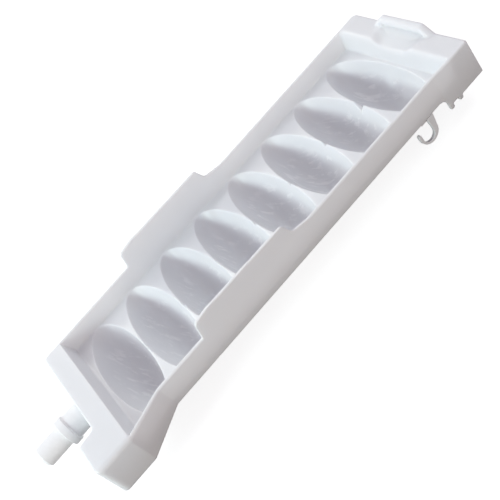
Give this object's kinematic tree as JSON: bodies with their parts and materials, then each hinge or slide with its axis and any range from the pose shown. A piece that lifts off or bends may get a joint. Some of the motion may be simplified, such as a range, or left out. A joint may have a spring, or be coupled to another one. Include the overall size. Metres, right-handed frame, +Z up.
{
  "type": "ice maker twist tray",
  "caption": "Long moulded tray with a row of crescent scoops, a turning spigot at one end and a drive socket at the other, for a machine that twists the ice out.",
  "frame": {"origin": "on the pivot axis, at the shoulder where the spigot's end peg begins", "axes": "+X along the pivot axis from the spigot to the driven end, +Y to the back, away from the stop block, +Z up, out of the scoops"},
  "size_m": [0.316, 0.1058, 0.0499],
  "materials": {
    "tray_plastic": "satin, faintly translucent white polypropylene",
    "spigot_plastic": "satin white acetal",
    "bush_plastic": "satin white acetal",
    "coupler_plastic": "satin white acetal",
    "hook_plastic": "satin white plastic",
    "capsule_plastic": "smooth white plastic",
    "pad_foam": "closed-cell foam",
    "cover_plastic": "satin white plastic"
  },
  "bodies": {
    "tray": {"ice_tray": "tray_plastic", "pivot_pin": "spigot_plastic", "drive_coupler": "coupler_plastic", "wire_hook": "hook_plastic", "sensor_capsule": "capsule_plastic", "sensor_pad": "pad_foam", "sensor_cover": "cover_plastic"},
    "bush": {"pivot_bush": "bush_plastic"}
  },
  "joints": [
    {"name": "bush_spin", "type": "hinge", "parent": "tray", "child": "bush", "pos_m": [0.00855, 0, 0], "axis": [1, 0, 0], "continuous": true}
  ]
}
